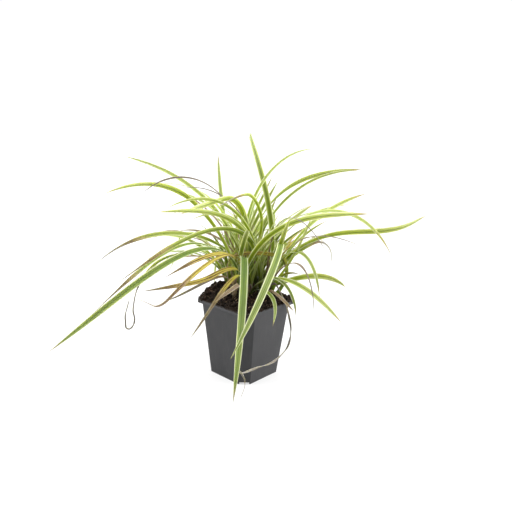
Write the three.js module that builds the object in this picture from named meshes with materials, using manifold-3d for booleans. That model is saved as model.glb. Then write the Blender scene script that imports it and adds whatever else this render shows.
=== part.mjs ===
// A young variegated carex sedge, Carex, growing in a square nursery pot with cut corners.
// Millimetres, +Z up. The origin is the centre of the pot's flat underside.
import * as THREE from 'three';
import * as BufferGeometryUtils from 'three/addons/utils/BufferGeometryUtils.js';
import Module from 'manifold-3d';

const wasm = await Module();
wasm.setup();

// Points closer together than this are one point.
const WELD = 1e-5;

// Pot
const POT_HEIGHT = 95;
const LIP_SIDE = 90;
const LIP_CUT = 7;
const LIP_HEIGHT = 4.5;
const BODY_TOP_SIDE = 88;
const BODY_TOP_CUT = 13.5;
const BASE_SIDE = 68;
const BASE_CUT = 10;
const CORNER_DIRECTIONS = [45, 135, 225, 315];
const WALL = 1.3;
const BASE_PLATE = 1.6;
const NOTCH_WIDTH = 12;
const NOTCH_HEIGHT = 2.5;
const NOTCH_REACH = 12;
const STEP_PLATE = 1.3;
const DRAIN_HOLE_RADIUS = 2.4;
const DRAIN_HOLE_SIDES = 12;

// Soil
const SOIL_GAP = 0.3;
const SOIL_EDGE = 94.6;
const SOIL_CROWN_RISE = 5;
const SOIL_HEAPS = [
  { x: -35, y: -23, rise: 20, spread: 10 },
  { x: -34, y: -3, rise: 13, spread: 9 },
  { x: 28, y: 34, rise: 5, spread: 12 },
];
const CRUMB_RISE = 1.1;
const CRUMB_WAVES = { x: 0.83, y: 0.71, bendX: 0.39, bendY: 0.47 };
const SOIL_RINGS = 8;
const SOIL_SIDE_PIECES = 8;
const SOIL_CUT_PIECES = 2;
const SHOOT_HOLE_TOP = 130;
const SHOOT_HOLE_SIDES = 8;

// Leaves
const CROWN_LEVEL = 94;
const ROOT_DEPTH = 11;
const BEND_IN = 35;
const BEND_SHARE_AT_MOST = 0.6;
const SPINE_STEPS = 72;
const FREE_SEGMENTS = 7;
const FREE_SEGMENTS_AT_LEAST = 4;
const LONG_LEAF = 200;
const SWAY_POWER = 1.5;
const SHEATH_SIDES = 6;
const LEAF_THICKNESS = 1.1;
const LEAF_FOLD = 0.13;
const BASE_WIDTH = 0.62;
const BASE_WIDENING = 1.5;
const TIP_WIDTH = 0.15;
const TIP_TAPER = 8;

// Kinds of shoot: colour, sheath at the foot, and the widest leaf that a seed may give.
const GREEN = {
  color: 0x6f9a3c, roughness: 0.55, widest: 7,
  sheath: { radius: 2.6, tip: 1.4, height: 22, holeGap: 0.5 },
};
const YELLOW = {
  color: 0xd2b23f, roughness: 0.65, widest: 5,
  sheath: { radius: 1.9, tip: 1.3, height: 14, holeGap: 0.5 },
};
const DRY = {
  color: 0xa58a6a, roughness: 0.85, widest: 3.4,
  sheath: { radius: 1.7, tip: 1.2, height: 10, holeGap: 1.5 },
};

// A dead leaf that hangs over the rim and curls forward round the pot's front corner.
const STRAND_WIDTH = 1.8;
const STRAND_STEPS = 26;
const CURLED_STRAND = [
  [19, 16, 98], [22, 17, 111], [30, 19, 117], [38, 18, 111], [43, 18, 105], [47, 20, 97], [50, 25, 78],
  [52, 27, 63], [53, 25, 50], [54, 19, 41], [55, 8, 36], [57, -7, 33], [59, -23, 34], [61, -40, 37],
  [64, -56, 40], [66, -68, 42], [68, -77, 45], [70, -80, 48], [72, -79, 46], [74, -77, 40], [76, -78, 35],
  [80, -84, 32], [84, -92, 29],
];

// Every shoot stands at (x, y). A leaf rises from it, leans `to` a compass heading (degrees from +X), and
// follows lift - droop * curve(u, bend) as its slope. `sway` turns its heading towards the tip, and `roll`
// turns its face. At a kink, `over` is the share of the leaf that bends, and `rise` and `turn` are what it
// adds to the slope and the heading. A strand is a thin dead leaf that has curled along a route of its own.
const SHOOTS = [
  { name: 'shoot_01', x: -2, y: -8, kind: GREEN, extra: [], leaves: [
    {
      to: 250, lift: 80, droop: 81, bend: 1.15, long: 275, sway: -16, wide: 7, roll: 55,
      kink: { at: 0.55, over: 0.06, rise: -14, turn: 44 },
    },
    { to: 285, lift: 104, droop: 138, bend: 0.38, long: 308, sway: -37, wide: 7.5, roll: -45 },
    { to: 318, lift: 99, droop: 148, bend: 0.46, long: 282, sway: -12, wide: 8.5, roll: -30 },
    { to: 350, lift: 88, droop: 80, bend: 0.53, long: 251, sway: 4, wide: 6.5, roll: -80 },
    { to: 0, lift: 59, droop: 113, bend: 2.07, long: 281, sway: -14, wide: 4.5, roll: 45 },
  ] },
  { name: 'shoot_02', x: 6, y: 2, kind: GREEN, extra: [1576], leaves: [
    { to: 350, lift: 57, droop: 90, bend: 0.72, long: 168, sway: 8, wide: 6.5, roll: 35 },
    { to: 350, lift: 24, droop: 56, bend: 1.05, long: 115, sway: -54, wide: 4.5, roll: 25 },
    { to: 350, lift: 48, droop: 136, bend: 1.8, long: 127, sway: -9, wide: 4, roll: 40 },
  ] },
  { name: 'shoot_03', x: 10, y: 15, kind: GREEN, extra: [], leaves: [
    { to: 280, lift: 93, droop: 114, bend: 1.1, long: 240, sway: -9, wide: 4, roll: 75 },
    { to: 285, lift: 98, droop: 94, bend: 0.49, long: 263, sway: -3, wide: 5.5, roll: 70 },
    { to: 285, lift: 91, droop: 106, bend: 1.1, long: 204, sway: -11, wide: 4, roll: 60 },
    { to: 290, lift: 106, droop: 139, bend: 0.58, long: 277, sway: -43, wide: 6.5, roll: 80 },
    { to: 120, lift: 93, droop: 89, bend: 2, long: 100, sway: 0, wide: 6, roll: 0 },
  ] },
  { name: 'shoot_04', x: 14, y: 29, kind: GREEN, extra: [], leaves: [
    { to: 180, lift: 97, droop: 99, bend: 1.5, long: 271, sway: -52, wide: 7.5, roll: -50 },
    { to: 326, lift: 95, droop: 142, bend: 0.58, long: 293, sway: -55, wide: 7.5, roll: -25 },
    { to: 320, lift: 62, droop: 22, bend: 0.42, long: 160, sway: 0, wide: 6, roll: 0 },
    { to: 345, lift: 38, droop: -14, bend: 0.48, long: 150, sway: -20, wide: 6, roll: 20 },
    { to: 5, lift: 71, droop: 51, bend: 1.3, long: 193, sway: 4, wide: 6.5, roll: 70 },
    { to: 345, lift: 84, droop: 146, bend: 1.15, long: 180, sway: -23, wide: 4.5, roll: 25 },
    { to: 20, lift: 26, droop: 68, bend: 3, long: 112, sway: 1, wide: 7.5, roll: 85 },
    {
      to: 30, lift: 91, droop: 104, bend: 0.48, long: 262, sway: 4, wide: 8, roll: -85,
      kink: { at: 0.72, over: 0.4, rise: 24, turn: 54 },
    },
  ] },
  { name: 'shoot_05', x: -20, y: 2, kind: GREEN, extra: [2379, 1424, 866, 1386], leaves: [
    { to: 150, lift: 43, droop: -4, bend: 1, long: 233, sway: -10, wide: 6, roll: -10 },
  ] },
  { name: 'shoot_06', x: -7, y: 7, kind: GREEN, extra: [618], leaves: [
    { to: 75, lift: 99, droop: 100, bend: 1.75, long: 236, sway: -8, wide: 5, roll: 30 },
    { to: 205, lift: 93, droop: 82, bend: 0.71, long: 260, sway: 1, wide: 6, roll: -50 },
    {
      to: 255, lift: 107, droop: 31, bend: 1.85, long: 262, sway: -28, wide: 4.5, roll: 75,
      kink: { at: 0.45, over: 0.35, rise: -90, turn: 58 },
    },
    {
      to: 270, lift: 89, droop: 2, bend: 1.05, long: 265, sway: 10, wide: 7.5, roll: 85,
      kink: { at: 0.45, over: 0.35, rise: -89, turn: 16 },
    },
    { to: 100, lift: 107, droop: 103, bend: 0.59, long: 276, sway: -50, wide: 8, roll: -80 },
  ] },
  { name: 'shoot_07', x: -1, y: 18, kind: GREEN, extra: [1435, 66, 1756, 8050], leaves: [
    { to: 50, lift: 82, droop: 50, bend: 0.85, long: 112, sway: 0, wide: 4, roll: 70 },
  ] },
  { name: 'shoot_08', x: -28, y: -5, kind: GREEN, extra: [653, 2019], leaves: [
    { to: 280, lift: 107, droop: 135, bend: 0.42, long: 263, sway: -3, wide: 5, roll: -40 },
    { to: 80, lift: 76, droop: 40, bend: 0.56, long: 123, sway: 7, wide: 4, roll: 40 },
    { to: 70, lift: 72, droop: 10, bend: 1, long: 162, sway: 0, wide: 4, roll: 60 },
    { to: 80, lift: 67, droop: 14, bend: 1, long: 163, sway: 0, wide: 5, roll: 65 },
  ] },
  { name: 'shoot_09', x: -22, y: 13, kind: GREEN, extra: [2043, 1278, 1206, 1251], leaves: [
    { to: 113, lift: 56, droop: 25, bend: 1, long: 143, sway: 26, wide: 6, roll: 0 },
  ] },
  { name: 'shoot_10', x: -12, y: 22, kind: GREEN, extra: [1220, 1057], leaves: [
    { to: 255, lift: 74, droop: 119, bend: 1, long: 240, sway: -25, wide: 6, roll: -65 },
    { to: 45, lift: 93, droop: 94, bend: 1.25, long: 231, sway: -1, wide: 4, roll: 70 },
    { to: 80, lift: 71, droop: 52, bend: 1.05, long: 156, sway: 0, wide: 6, roll: 60 },
    { to: 250, lift: 85, droop: 19, bend: 1, long: 109, sway: 0, wide: 6, roll: 80 },
  ] },
  { name: 'shoot_11', x: -3, y: 30, kind: GREEN, extra: [475, 1388, 173, 253], leaves: [
    {
      to: 55, lift: 43, droop: 151, bend: 4, long: 161, sway: -1, wide: 6, roll: 85,
      kink: { at: 0.62, over: 0.12, rise: -23, turn: 31 },
    },
  ] },
  { name: 'shoot_12', x: -35, y: 9, kind: GREEN, extra: [1960, 367, 589, 1439, 1162], leaves: [] },
  { name: 'shoot_13', x: -27, y: 26, kind: GREEN, extra: [702, 881, 1177, 1598, 333], leaves: [] },
  { name: 'shoot_14', x: -18, y: 33, kind: GREEN, extra: [1042, 293, 1668, 2318, 1683], leaves: [] },
  { name: 'dry_tuft_1', x: 19, y: 16, kind: DRY, extra: [], leaves: [
    { to: 320, lift: 98, droop: 143, bend: 1.1, long: 240, sway: 23, wide: 2.8, roll: 30 },
    { to: 335, lift: 72, droop: 80, bend: 0.86, long: 232, sway: 9, wide: 2.8, roll: 50 },
    { to: 340, lift: 52, droop: 135, bend: 1.95, long: 185, sway: -20, wide: 3.5, roll: 15 },
    { to: 325, lift: 19, droop: 26, bend: 0.83, long: 110, sway: 8, wide: 3.5, roll: 40 },
  ], strand: CURLED_STRAND },
  { name: 'dry_tuft_2', x: -1, y: 2, kind: DRY, extra: [921], leaves: [
    { to: 225, lift: 106, droop: 121, bend: 1.55, long: 191, sway: 6, wide: 3, roll: -30 },
    { to: 265, lift: 91, droop: 128, bend: 1.6, long: 255, sway: 4, wide: 3, roll: -50 },
    { to: 230, lift: 93, droop: 104, bend: 1.2, long: 137, sway: 0, wide: 3.5, roll: -50 },
  ] },
  { name: 'dry_tuft_3', x: -4, y: -16, kind: DRY, extra: [], leaves: [
    { to: 330, lift: 36, droop: 56, bend: 1.35, long: 124, sway: -60, wide: 5, roll: -40 },
    { to: 295, lift: 101, droop: 112, bend: 0.33, long: 148, sway: -31, wide: 3.5, roll: -70 },
  ] },
  { name: 'yellow_shoot_1', x: 10, y: -9, kind: YELLOW, extra: [], leaves: [
    { to: 295, lift: 91, droop: 109, bend: 0.63, long: 193, sway: -28, wide: 5, roll: -60 },
    {
      to: 300, lift: 99, droop: 142, bend: 0.53, long: 252, sway: -48, wide: 4.5, roll: -40,
      kink: { at: 0.84, over: 0.12, rise: 72, turn: 35 },
    },
    {
      to: 295, lift: 106, droop: 115, bend: 0.3, long: 200, sway: -20, wide: 5.5, roll: -60,
      kink: { at: 0.7, over: 0.2, rise: 2, turn: -40 },
    },
    { to: 300, lift: 106, droop: 142, bend: 0.4, long: 170, sway: -25, wide: 5, roll: -40 },
  ] },
  { name: 'yellow_shoot_2', x: 23, y: 23, kind: YELLOW, extra: [], leaves: [
    { to: 345, lift: 90, droop: 86, bend: 0.77, long: 76, sway: 4, wide: 5, roll: -40 },
  ] },
  { name: 'dry_tuft_4', x: -34, y: 23, kind: DRY, extra: [33, 2145, 677, 1486], leaves: [] },
  { name: 'yellow_shoot_3', x: -6, y: 37, kind: YELLOW, extra: [399, 960, 952, 2406], leaves: [] },
];

function solidOf(geometry) {
  geometry.deleteAttribute('normal');
  geometry.deleteAttribute('uv');
  const merged = BufferGeometryUtils.mergeVertices(geometry, WELD);
  return new wasm.Manifold(new wasm.Mesh({
    numProp: 3,
    vertProperties: new Float32Array(merged.attributes.position.array),
    triVerts: new Uint32Array(merged.index.array),
  }));
}

function geometryOf(solid) {
  const mesh = solid.getMesh();
  const geometry = new THREE.BufferGeometry();
  geometry.setAttribute('position', new THREE.BufferAttribute(mesh.vertProperties, 3));
  geometry.setIndex(new THREE.BufferAttribute(mesh.triVerts, 1));
  const flat = geometry.toNonIndexed();
  flat.computeVertexNormals();
  return flat;
}

// Joins rings of equal point count into one closed skin, with a fan across each end.
function loft(rings) {
  const points = rings.flat();
  const count = rings[0].length;
  const last = (rings.length - 1) * count;
  const faces = [];
  for (let ring = 0; ring < rings.length - 1; ring += 1) {
    for (let i = 0; i < count; i += 1) {
      const a = ring * count + i;
      const b = ring * count + (i + 1) % count;
      faces.push(a, b, b + count, a, b + count, a + count);
    }
  }
  for (let i = 1; i < count - 1; i += 1) {
    faces.push(0, i + 1, i);
    faces.push(last, last + i, last + i + 1);
  }
  const geometry = new THREE.BufferGeometry();
  geometry.setAttribute('position', new THREE.Float32BufferAttribute(points.flatMap((p) => p.toArray()), 3));
  geometry.setIndex(faces);
  return geometry;
}

// A square outline with its corners cut off, counterclockwise.
function cutSquare(side, cut, z) {
  const half = side / 2;
  const flat = half - cut;
  return [
    [half, -flat], [half, flat], [flat, half], [-flat, half],
    [-half, flat], [-half, -flat], [-flat, -half], [flat, -half],
  ].map(([x, y]) => new THREE.Vector3(x, y, z));
}

function mix(a, b, t) {
  return a + (b - a) * t;
}

// The pot's body at a height, drawn in by an inset from its outer face.
function bodyOutline(z, inset) {
  const t = z / (POT_HEIGHT - LIP_HEIGHT);
  const side = mix(BASE_SIDE, BODY_TOP_SIDE, t) - 2 * inset;
  const cut = mix(BASE_CUT, BODY_TOP_CUT, t) - inset * (2 - Math.SQRT2);
  return cutSquare(side, cut, z);
}

// A block across each cut corner, from outside the pot to `reach` inside its cut face.
function cornerBlocks(width, reach, bottom, top) {
  const faceDistance = (BASE_SIDE - BASE_CUT) / Math.SQRT2;
  const depth = reach + BODY_TOP_CUT;
  const blocks = CORNER_DIRECTIONS.map((degrees) => {
    const block = new THREE.BoxGeometry(depth, width, top - bottom);
    block.translate(faceDistance - reach + depth / 2, 0, (top + bottom) / 2);
    block.rotateZ(THREE.MathUtils.degToRad(degrees));
    return solidOf(block);
  });
  return wasm.Manifold.union(blocks);
}

function uprightCylinder(radius, x, y, bottom, top, sides) {
  const cylinder = new THREE.CylinderGeometry(radius, radius, top - bottom, sides);
  cylinder.rotateX(Math.PI / 2);
  cylinder.translate(x, y, (top + bottom) / 2);
  return solidOf(cylinder);
}

function potSolid() {
  const lipBottom = POT_HEIGHT - LIP_HEIGHT;
  const body = solidOf(loft([bodyOutline(0, 0), bodyOutline(lipBottom + 1, 0)]));
  const lip = solidOf(loft([
    cutSquare(LIP_SIDE, LIP_CUT, lipBottom),
    cutSquare(LIP_SIDE, LIP_CUT, POT_HEIGHT),
  ]));
  const outside = body.add(lip);
  const inside = solidOf(loft([bodyOutline(BASE_PLATE, WALL), bodyOutline(POT_HEIGHT + 1, WALL)]));
  const step = NOTCH_HEIGHT + STEP_PLATE;
  const steps = cornerBlocks(NOTCH_WIDTH + 2 * WALL, NOTCH_REACH + WALL, 0, step);
  const notches = cornerBlocks(NOTCH_WIDTH, NOTCH_REACH, -1, NOTCH_HEIGHT);
  const holeDistance = (BASE_SIDE - BASE_CUT) / Math.SQRT2 - NOTCH_REACH / 2;
  const holes = CORNER_DIRECTIONS.map((degrees) => {
    const angle = THREE.MathUtils.degToRad(degrees);
    const x = holeDistance * Math.cos(angle);
    const y = holeDistance * Math.sin(angle);
    return uprightCylinder(DRAIN_HOLE_RADIUS, x, y, 0, step + 1, DRAIN_HOLE_SIDES);
  });
  const hollow = inside.subtract(steps);
  return outside.subtract(hollow).subtract(notches).subtract(wasm.Manifold.union(holes));
}

// A repeatable random sequence from 0 to 1.
function randomSequence(seed) {
  let state = seed;
  return () => {
    state = (state + 0x6d2b79f5) | 0;
    let value = Math.imul(state ^ (state >>> 15), state | 1);
    value ^= value + Math.imul(value ^ (value >>> 7), value | 61);
    return ((value ^ (value >>> 14)) >>> 0) / 4294967296;
  };
}

function soilHeight(x, y) {
  const reach = Math.max(Math.abs(x), Math.abs(y)) / (BODY_TOP_SIDE / 2);
  const waves = CRUMB_WAVES;
  const crumbs = Math.sin(x * waves.x + 2 * Math.sin(y * waves.bendY))
    * Math.cos(y * waves.y + Math.sin(x * waves.bendX));
  const open = Math.max(0, 1 - reach * reach);
  const heaped = SOIL_HEAPS.reduce((sum, heap) => {
    const away = Math.hypot(x - heap.x, y - heap.y) / heap.spread;
    return sum + heap.rise * Math.exp(-away * away / 2);
  }, 0);
  return SOIL_EDGE + SOIL_CROWN_RISE * open + heaped * Math.sqrt(open)
    + CRUMB_RISE * crumbs * Math.min(1, 4 * open);
}

// Points along an eight-sided outline: each long side and each cut corner in even pieces.
function finePoints(outline) {
  return outline.flatMap((corner, i) => {
    const next = outline[(i + 1) % outline.length];
    const pieces = i % 2 === 0 ? SOIL_SIDE_PIECES : SOIL_CUT_PIECES;
    return Array.from({ length: pieces }, (_, k) => corner.clone().lerp(next, k / pieces));
  });
}

// The root ball: the pot's inner shape, with a crumbly mound on top and a plain hole for each shoot.
function soilSolid() {
  const inset = WALL + SOIL_GAP;
  const bottom = finePoints(bodyOutline(BASE_PLATE + SOIL_GAP, inset));
  const rim = finePoints(bodyOutline(SOIL_EDGE, inset));
  const rings = [bottom, rim];
  for (let ring = SOIL_RINGS - 1; ring > 0; ring -= 1) {
    const share = ring / SOIL_RINGS;
    rings.push(rim.map((p) => {
      const x = p.x * share;
      const y = p.y * share;
      return new THREE.Vector3(x, y, soilHeight(x, y));
    }));
  }
  const ball = solidOf(loft(rings));
  const steps = cornerBlocks(
    NOTCH_WIDTH + 2 * (WALL + SOIL_GAP), NOTCH_REACH + WALL + SOIL_GAP, 0,
    NOTCH_HEIGHT + STEP_PLATE + SOIL_GAP,
  );
  const holes = SHOOTS.map((shoot) => {
    const radius = shoot.kind.sheath.radius + shoot.kind.sheath.holeGap;
    const holeBottom = CROWN_LEVEL - ROOT_DEPTH - SOIL_GAP;
    return uprightCylinder(radius, shoot.x, shoot.y, holeBottom, SHOOT_HOLE_TOP, SHOOT_HOLE_SIDES);
  });
  return outerBody(ball.subtract(steps).subtract(wasm.Manifold.union(holes)));
}

function curve(u, bend) {
  return bend >= 1 ? u ** bend : 1 - (1 - u) ** (1 / bend);
}

// How much of its kink a leaf has taken at u, from 0 to 1.
function kinkShare(leaf, u) {
  return leaf.kink ? THREE.MathUtils.smoothstep((u - leaf.kink.at) / leaf.kink.over, -0.5, 0.5) : 0;
}

function leafHeading(leaf, u) {
  const turn = kinkShare(leaf, u) * (leaf.kink?.turn ?? 0);
  return THREE.MathUtils.degToRad(leaf.to + leaf.sway * u ** SWAY_POWER + turn);
}

// The leaf's middle line, in even steps from its root.
function leafSpine(shoot, leaf) {
  const step = leaf.long / SPINE_STEPS;
  const points = [new THREE.Vector3(shoot.x, shoot.y, CROWN_LEVEL)];
  for (let i = 0; i < SPINE_STEPS; i += 1) {
    const u = (i + 0.5) / SPINE_STEPS;
    const upright = Math.max(0, 1 - u * leaf.long / BEND_IN) ** 2;
    const slope = leaf.lift - leaf.droop * curve(u, leaf.bend) + (90 - leaf.lift) * upright
      + kinkShare(leaf, u) * (leaf.kink?.rise ?? 0);
    const rise = THREE.MathUtils.degToRad(slope);
    const turn = leafHeading(leaf, u);
    const next = new THREE.Vector3(
      Math.cos(rise) * Math.cos(turn), Math.cos(rise) * Math.sin(turn), Math.sin(rise),
    );
    points.push(next.multiplyScalar(step).add(points[i]));
  }
  return points;
}

// Steps of the spine where the solid has a section: three while it bends out of the sheath, the rest even.
function leafStations(leaf) {
  const bendSteps = SPINE_STEPS * Math.min(BEND_SHARE_AT_MOST, BEND_IN / leaf.long);
  const stations = [0, bendSteps / 3, bendSteps * 2 / 3, bendSteps];
  const free = Math.max(
    FREE_SEGMENTS_AT_LEAST, Math.round(FREE_SEGMENTS * Math.min(1, leaf.long / LONG_LEAF)),
  );
  for (let i = 1; i <= free; i += 1) {
    stations.push(mix(bendSteps, SPINE_STEPS, i / free));
  }
  if (leaf.kink) {
    const { at, over } = leaf.kink;
    [at - over / 2, at, at + over / 2].forEach((u) => stations.push(Math.min(1, u) * SPINE_STEPS));
  }
  return [...new Set(stations.map(Math.round))].sort((a, b) => a - b);
}

// A leaf is a long thin blade folded along its middle: groove, one edge, keel, the other edge.
function leafSolid(shoot, leaf) {
  const points = leafSpine(shoot, leaf);
  const rings = leafStations(leaf).map((i) => {
    const u = i / SPINE_STEPS;
    const before = points[Math.max(0, i - 1)];
    const after = points[Math.min(SPINE_STEPS, i + 1)];
    const along = after.clone().sub(before).normalize();
    const heading = leafHeading(leaf, u);
    const side = new THREE.Vector3(-Math.sin(heading), Math.cos(heading), 0);
    const face = along.clone().cross(side);
    const roll = THREE.MathUtils.degToRad(leaf.roll * Math.sin(u * Math.PI / 2));
    const across = side.clone().multiplyScalar(Math.cos(roll)).addScaledVector(face, Math.sin(roll));
    const up = along.clone().cross(across);
    const width = leaf.wide * Math.min(1, BASE_WIDTH + BASE_WIDENING * u)
      * (1 - (1 - TIP_WIDTH) * u ** TIP_TAPER);
    const fold = width * LEAF_FOLD;
    const at = (sideways, upward) => points[i].clone()
      .addScaledVector(across, sideways).addScaledVector(up, upward);
    return [
      at(0, LEAF_THICKNESS / 2), at(-width / 2, fold), at(0, -LEAF_THICKNESS / 2), at(width / 2, fold),
    ];
  });
  return solidOf(loft(rings));
}

// A strand's section is the same slender four-sided one, carried along its route.
function strandSolid(route) {
  const line = new THREE.CatmullRomCurve3(route.map((point) => new THREE.Vector3(...point)));
  const { normals, binormals } = line.computeFrenetFrames(STRAND_STEPS, false);
  const rings = normals.map((normal, i) => {
    const u = i / STRAND_STEPS;
    const width = STRAND_WIDTH * (1 - (1 - TIP_WIDTH) * u ** TIP_TAPER);
    return [[0, 1], [1, 0], [0, -1], [-1, 0]].map(([sideways, upward]) => line.getPointAt(u)
      .addScaledVector(binormals[i], sideways * width / 2)
      .addScaledVector(normal, upward * LEAF_THICKNESS / 2));
  });
  return solidOf(loft(rings));
}

// Leaves that no list names: one seed gives one leaf.
function extraLeaf(seed, kind) {
  const random = randomSequence(seed);
  const between = (low, high) => low + (high - low) * random();
  const leaf = {
    to: between(0, 360),
    lift: between(50, 98),
    droop: between(40, 130),
    bend: between(0.5, 1.5),
    long: between(110, 260),
    sway: between(-35, 35),
    wide: between(4, 7),
    roll: between(-40, 40),
  };
  leaf.wide = Math.min(leaf.wide, kind.widest);
  return leaf;
}

// The outer skin alone: small hollows that crossing blades seal are filled.
function outerBody(solid) {
  return solid.decompose().reduce((best, piece) => (piece.volume() > best.volume() ? piece : best));
}

function shootSolid(shoot) {
  const { radius, tip, height } = shoot.kind.sheath;
  const sheath = new THREE.CylinderGeometry(tip, radius, height, SHEATH_SIDES, 1);
  sheath.rotateX(Math.PI / 2);
  sheath.translate(shoot.x, shoot.y, CROWN_LEVEL + height / 2);
  const root = uprightCylinder(radius, shoot.x, shoot.y, CROWN_LEVEL - ROOT_DEPTH, CROWN_LEVEL, SHEATH_SIDES);
  const leaves = [...shoot.leaves, ...shoot.extra.map((seed) => extraLeaf(seed, shoot.kind))];
  const blades = leaves.map((leaf) => leafSolid(shoot, leaf));
  if (shoot.strand) {
    blades.push(strandSolid(shoot.strand));
  }
  return outerBody(wasm.Manifold.union([root, solidOf(sheath), ...blades]));
}

function part(name, solid, look) {
  const material = new THREE.MeshStandardMaterial({ metalness: 0, ...look });
  const mesh = new THREE.Mesh(geometryOf(solid), material);
  mesh.name = name;
  return mesh;
}

const sedge = new THREE.Group();
sedge.add(part('pot', potSolid(), { color: 0x4c4c4f, roughness: 0.5 }));
sedge.add(part('potting_soil', soilSolid(), { color: 0x2a2019, roughness: 0.95 }));
SHOOTS.forEach((shoot) => {
  const { color, roughness } = shoot.kind;
  sedge.add(part(shoot.name, shootSolid(shoot), { color, roughness }));
});

export default sedge;
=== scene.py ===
import math
from collections import namedtuple

import bmesh
import bpy
import numpy as np
from mathutils import Matrix, Vector


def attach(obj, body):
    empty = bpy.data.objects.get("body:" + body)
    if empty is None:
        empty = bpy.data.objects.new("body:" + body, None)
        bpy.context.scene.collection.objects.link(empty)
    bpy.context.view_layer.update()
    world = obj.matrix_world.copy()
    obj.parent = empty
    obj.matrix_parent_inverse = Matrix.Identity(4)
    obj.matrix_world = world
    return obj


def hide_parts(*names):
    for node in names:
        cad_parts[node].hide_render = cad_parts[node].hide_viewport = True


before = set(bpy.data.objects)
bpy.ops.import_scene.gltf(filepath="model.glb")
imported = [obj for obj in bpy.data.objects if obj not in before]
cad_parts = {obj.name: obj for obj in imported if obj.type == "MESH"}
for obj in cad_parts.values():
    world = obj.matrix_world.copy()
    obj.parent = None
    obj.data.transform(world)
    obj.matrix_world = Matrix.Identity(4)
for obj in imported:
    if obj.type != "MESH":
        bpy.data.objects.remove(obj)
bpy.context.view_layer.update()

MM = 0.001


# ---- The stage: a plain white floor and white surroundings, with soft light from above, left and right.
# The camera stands in front of one cut corner of the pot and looks a little down on it.

CAMERA_AT = Vector((0.4128, -0.4371, 0.2920))
CAMERA_AIM = Vector((0.0198, -0.0054, 0.1535))
CAMERA_ROLL = math.radians(1.87)
CAMERA_LENS = 35.75
CAMERA_SENSOR = 36
CAMERA_NEAREST = 0.01
SUNS = [
    ("light_right", (0.630, 0.777, 0.55), 3.5, 50),
    ("light_left", (-0.819, -0.574, 0.60), 3.3, 50),
    ("light_back", (-0.687, 0.727, 0.80), 1.5, 80),
    ("light_top", (0.1, -0.1, 1.0), 2.3, 75),
]
FLOOR_SIDE = 40.0
FLOOR_WHITE = (0.33, 0.33, 0.332)
FLOOR_GLOW = 0.60
WHITE = (1, 1, 1)
BLACK = (0, 0, 0)
AMBIENT = 0.50
BACKDROP = 1.02
DARK_SIDE = (0.66, -0.72, 0.22)
DARK_SHARE = 0.85
DARK_EDGE = 0.8

camera = bpy.data.objects.new("camera", bpy.data.cameras.new("camera"))
camera.data.sensor_width = CAMERA_SENSOR
camera.data.lens = CAMERA_LENS
camera.data.clip_start = CAMERA_NEAREST
aim = (CAMERA_AIM - CAMERA_AT).to_track_quat("-Z", "Y").to_matrix() @ Matrix.Rotation(CAMERA_ROLL, 3, "Z")
camera.matrix_world = Matrix.Translation(CAMERA_AT) @ aim.to_4x4()
bpy.context.scene.collection.objects.link(camera)
bpy.context.scene.camera = camera


def sun(name, toward, strength, width):
    """A far, round, soft light: `toward` points at it and `width` is its angle across in degrees."""
    light = bpy.data.lights.new(name, "SUN")
    light.energy = strength
    light.angle = math.radians(width)
    lamp = bpy.data.objects.new(name, light)
    lamp.rotation_euler = Vector(toward).to_track_quat("Z", "Y").to_euler()
    bpy.context.scene.collection.objects.link(lamp)


for row in SUNS:
    sun(*row)


class Wire:
    """One value or colour in a material. Sums and products of wires add the Math nodes for them."""

    def __init__(self, tree, socket=None):
        self.tree = tree
        self.socket = socket

    def node(self, kind, settings=None, values=None, output=0):
        """Adds any node: its settings first, then a value or a wire for each of its sockets."""
        made = self.tree.nodes.new(kind)
        for name, setting in (settings or {}).items():
            setattr(made, name, setting)
        for name, value in (values or {}).items():
            if isinstance(value, Wire):
                self.tree.links.new(value.socket, made.inputs[name])
            elif made.inputs[name].type == "RGBA":
                made.inputs[name].default_value = (*value, 1)
            else:
                made.inputs[name].default_value = value
        return Wire(self.tree, made.outputs[output]) if made.outputs else None

    def math(self, operation, *values):
        """A Math node's operation on one or more values."""
        return self.node("ShaderNodeMath", {"operation": operation}, dict(enumerate(values)))

    def __add__(self, other):
        return self.math("ADD", self, other)

    def __sub__(self, other):
        return self.math("SUBTRACT", self, other)

    def __mul__(self, other):
        return self.math("MULTIPLY", self, other)

    def __rsub__(self, other):
        return self.math("SUBTRACT", other, self)

    __radd__ = __add__
    __rmul__ = __mul__

    def step(self, low, high):
        """0 below `low`, 1 above `high` and smooth between them; the other way round if low is above high."""
        smooth = {"interpolation_type": "SMOOTHSTEP"}
        return self.node("ShaderNodeMapRange", smooth, {0: self, 1: low, 2: high})

    def blend(self, first, second):
        """The first colour where this is 0, the second where it is 1. A Mix node takes its colours in
        sockets 6 and 7 and gives the result in output 2."""
        return self.node("ShaderNodeMix", {"data_type": "RGBA"}, {0: self, 6: first, 7: second}, 2)

    def noise(self, place, scale, detail=2.0, stretch=None):
        """Soft random spots from 0 to 1 at a place, `scale` of them to a unit. `stretch` says how much
        closer they lie along each axis."""
        if stretch:
            place = self.node("ShaderNodeVectorMath", {"operation": "MULTIPLY"}, {0: place, 1: stretch})
        return self.node("ShaderNodeTexNoise", None, {"Vector": place, "Scale": scale, "Detail": detail})

    def place(self):
        """The place on the piece in metres."""
        return self.node("ShaderNodeTexCoord", output="Object")

    def point(self, x, y, z):
        """A place made of three values."""
        return self.node("ShaderNodeCombineXYZ", None, {"X": x, "Y": y, "Z": z})

    def axis(self, name):
        """One value of a place: X, Y or Z."""
        return self.node("ShaderNodeSeparateXYZ", None, {"Vector": self}, name)

    def attribute(self, name):
        """A value that the mesh holds for each of its points."""
        return self.node("ShaderNodeAttribute", {"attribute_name": name}, output="Fac")


def new_material(name):
    """An empty material and the wire that its nodes are made from."""
    material = bpy.data.materials.new(name)
    material.use_nodes = True
    material.node_tree.nodes.clear()
    return material, Wire(material.node_tree)


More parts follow.
